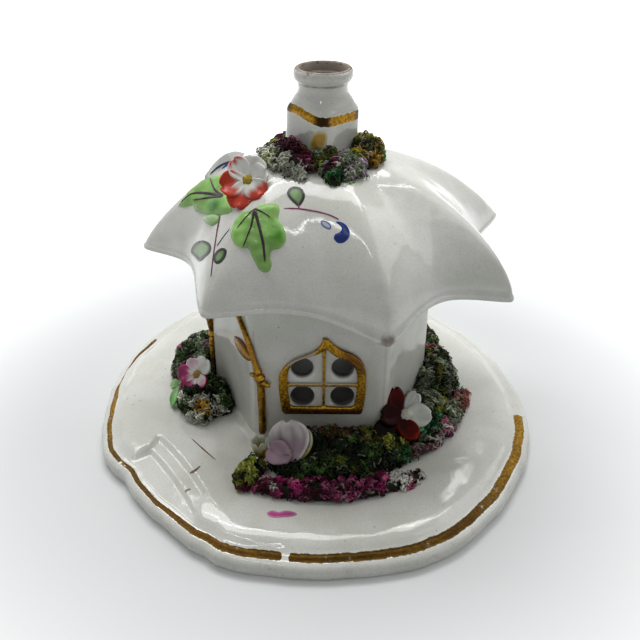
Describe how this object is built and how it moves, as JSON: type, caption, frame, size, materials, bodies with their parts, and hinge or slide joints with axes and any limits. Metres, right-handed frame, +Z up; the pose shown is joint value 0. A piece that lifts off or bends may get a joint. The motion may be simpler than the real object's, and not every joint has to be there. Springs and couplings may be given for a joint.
{
  "type": "porcelain cottage",
  "caption": "Porcelain cottage pastille burner: hollow walls on a round base, scalloped roof, open chimney, pierced window, moss and flowers.",
  "frame": {"origin": "centre of the base's foot ring, on the table", "axes": "+Z up, -Y the window side, +X to the window's right"},
  "size_m": [0.1357, 0.1483, 0.11],
  "materials": {
    "porcelain": "clear lead glaze over white porcelain",
    "gilding": "burnished gilding over glaze, worn in places",
    "coral_enamel": "glazed petals, coral with white",
    "pink_enamel": "glazed petals, pink with white",
    "lilac_enamel": "glazed petals, white washed with pale lilac",
    "crimson_enamel": "glazed petals, dark red with white",
    "straw_enamel": "glazed, white with straw yellow",
    "yellow_enamel": "glazed, ochre yellow",
    "green_enamel": "glazed leaf, apple green with dark veins",
    "moss_green": "shredded clay strands, glazed green",
    "moss_pink": "shredded clay strands, washed pink over white",
    "moss_yellow": "shredded clay strands, yellow green",
    "moss_grey": "shredded clay strands, grey green",
    "moss_maroon": "shredded clay strands, maroon"
  },
  "bodies": {
    "root": {"base_plinth": "porcelain", "cottage_walls": "porcelain", "roof": "porcelain", "chimney": "porcelain", "window_frame": "gilding", "door_twig_right": "gilding", "door_twig_left": "gilding", "door_leaf_bud": "gilding", "flower_roof": "coral_enamel", "flower_left": "pink_enamel", "flower_front": "lilac_enamel", "flower_right": "crimson_enamel", "blossom_bud": "straw_enamel", "flower_roof_heart": "yellow_enamel", "flower_left_heart": "yellow_enamel", "flower_front_heart": "yellow_enamel", "flower_right_heart": "yellow_enamel", "leaf_roof_left": "green_enamel", "leaf_roof_right": "green_enamel", "leaf_left": "green_enamel", "moss_front": "moss_green", "moss_front_border": "moss_pink", "moss_front_left": "moss_yellow", "moss_right_front": "moss_green", "moss_right_border": "moss_pink", "moss_right_back": "moss_grey", "moss_back_right": "moss_green", "moss_back_left": "moss_green", "moss_left_back": "moss_green", "moss_left": "moss_green", "moss_chimney_left": "moss_maroon", "moss_chimney_front": "moss_green", "moss_chimney_right": "moss_yellow", "moss_chimney_back_right": "moss_grey", "moss_chimney_back_left": "moss_green"}
  },
  "joints": []
}
